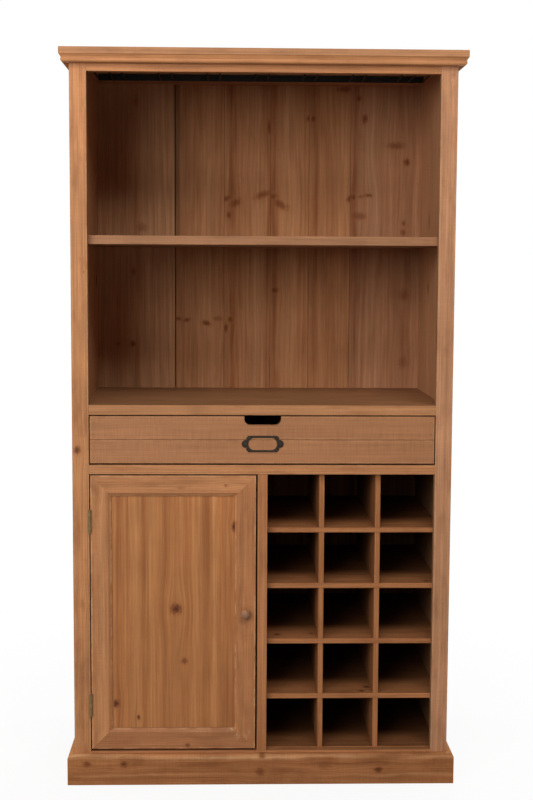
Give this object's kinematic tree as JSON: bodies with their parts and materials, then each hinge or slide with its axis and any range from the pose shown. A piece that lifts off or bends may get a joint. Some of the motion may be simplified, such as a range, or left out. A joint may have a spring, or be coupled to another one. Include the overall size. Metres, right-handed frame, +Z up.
{
  "type": "wine cabinet",
  "caption": "Tall free-standing pine wine cabinet with open display shelves, stemware rack, drawer, cupboard door and bottle rack.",
  "frame": {"origin": "on the floor, in the middle of the footprint of the overhanging top", "axes": "+X to the right seen from the front, +Y from the front to the back, +Z up"},
  "size_m": [0.92, 0.505, 1.7],
  "materials": {
    "stained_pine": "satin stained knotty pine",
    "striped_pine": "satin stained pine, striped staves",
    "back_pine": "satin stained pine boards",
    "plain_pine": "lightly stained pine",
    "black_wire": "black powder coat",
    "aged_bronze": "aged dark bronze",
    "screw_steel": "darkened steel",
    "catch_plastic": "brown moulded plastic"
  },
  "bodies": {
    "cabinet": {"side_panel_left": "stained_pine", "side_panel_right": "stained_pine", "back_board_1": "back_pine", "back_board_2": "back_pine", "back_board_3": "back_pine", "back_board_4": "back_pine", "back_board_5": "back_pine", "back_board_6": "back_pine", "top_board": "stained_pine", "cornice_front": "stained_pine", "cornice_left": "stained_pine", "cornice_right": "stained_pine", "stile_left": "stained_pine", "stile_right": "stained_pine", "top_rail": "stained_pine", "mid_rail": "stained_pine", "bottom_rail": "stained_pine", "mullion": "stained_pine", "counter_shelf": "stained_pine", "display_shelf": "stained_pine", "drawer_deck": "plain_pine", "floor_panel": "stained_pine", "centre_partition": "stained_pine", "plinth_front": "stained_pine", "plinth_left": "stained_pine", "plinth_right": "stained_pine", "rack_shelf_1": "stained_pine", "rack_shelf_2": "stained_pine", "rack_shelf_3": "stained_pine", "rack_shelf_4": "stained_pine", "rack_divider_1": "stained_pine", "rack_divider_2": "stained_pine", "drawer_runner_left": "plain_pine", "drawer_runner_right": "plain_pine", "cupboard_shelf": "stained_pine", "stem_rear_bar": "black_wire", "stem_wires": "black_wire", "stem_hangers": "black_wire", "stem_screws": "screw_steel", "magnet_catch": "catch_plastic", "hinge_frame_leaves": "aged_bronze", "hinge_pins": "aged_bronze", "hinge_frame_screws": "screw_steel"},
    "door": {"door_stile_left": "stained_pine", "door_stile_right": "stained_pine", "door_rail_top": "stained_pine", "door_rail_bottom": "stained_pine", "door_panel": "striped_pine", "door_knob": "stained_pine", "hinge_door_leaves": "aged_bronze", "hinge_door_screws": "screw_steel", "catch_strike": "screw_steel"},
    "drawer": {"drawer_front_upper": "stained_pine", "drawer_front_lower": "stained_pine", "drawer_side_left": "plain_pine", "drawer_side_right": "plain_pine", "drawer_back": "plain_pine", "drawer_bottom": "plain_pine", "label_holder": "aged_bronze", "label_screws": "screw_steel"}
  },
  "joints": [
    {"name": "door_hinge", "type": "hinge", "parent": "cabinet", "child": "door", "pos_m": [-0.3995, -0.23515, 0.407], "axis": [0, 0, -1], "range_deg": [0, 110]},
    {"name": "drawer_slide", "type": "slide", "parent": "cabinet", "child": "drawer", "axis": [0, -1, 0], "range_m": [0, 0.35]}
  ]
}
